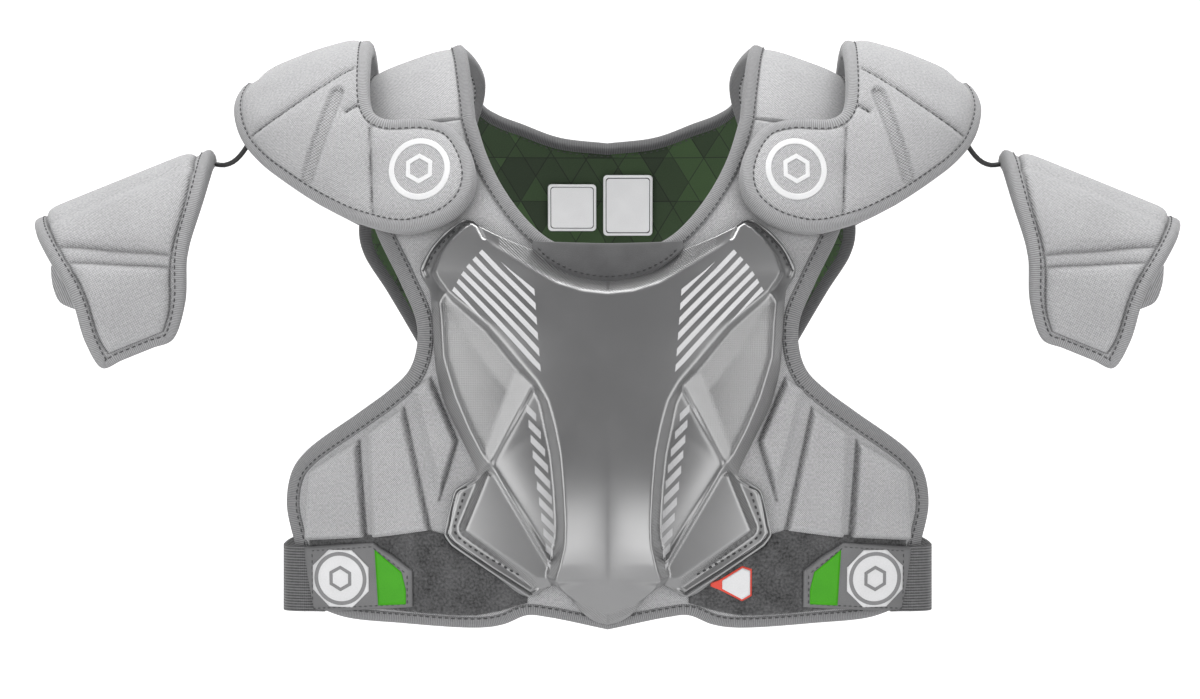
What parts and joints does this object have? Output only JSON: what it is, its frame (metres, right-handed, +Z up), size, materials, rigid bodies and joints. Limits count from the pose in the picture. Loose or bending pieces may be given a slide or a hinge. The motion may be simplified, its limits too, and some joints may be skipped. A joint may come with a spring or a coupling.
{
  "type": "lacrosse shoulder pads",
  "caption": "Lacrosse shoulder pads: padded chest and back panels, moulded chest plate, shoulder caps, upper-arm pads on cords and elastic side straps.",
  "frame": {"origin": "between the two shoulder straps, where the pads sit on the shoulders: middle of the width, middle of the depth of the straps, level with the underside of their neck edges", "axes": "+Z up, the chest faces -Y, +X to the right as seen from the front"},
  "size_m": [0.6838, 0.2529, 0.3453],
  "materials": {
    "fabric": "woven light grey mesh over foam",
    "tape": "ribbed grey edge tape",
    "plate": "satin grey moulding",
    "neoprene": "dark grey neoprene",
    "pile": "dark grey loop pile",
    "elastic": "ribbed dark elastic webbing",
    "rubber": "moulded grey rubber with a white disc and a green corner",
    "tag": "red woven tag with a pale inset",
    "dark_tape": "ribbed dark grey edge tape",
    "lining": "dark green lining with a green line lattice",
    "label": "white woven label, bare",
    "cord": "black elastic cord"
  },
  "bodies": {
    "root": {"front_panel": "fabric", "neck_binding": "tape", "edge_binding": "tape", "chest_plate": "plate", "collar_tab": "neoprene", "loop_patch_left": "pile", "loop_patch_right": "pile", "strap_tab_left": "rubber", "strap_tab_right": "rubber", "rib_strap_left": "elastic", "rib_strap_right": "elastic", "side_tag": "tag", "yoke_left": "fabric", "yoke_right": "fabric", "back_panel": "fabric", "back_lining": "lining", "back_binding": "dark_tape", "label_size": "label", "label_standard": "label", "cap_left": "fabric", "cap_right": "fabric", "cap_binding_left": "tape", "cap_binding_right": "tape", "arm_pad_left": "fabric", "arm_pad_right": "fabric", "arm_binding_left": "tape", "arm_binding_right": "tape", "arm_strap_left": "elastic", "arm_strap_right": "elastic", "cap_cord_left": "cord", "cap_cord_right": "cord"}
  },
  "joints": []
}
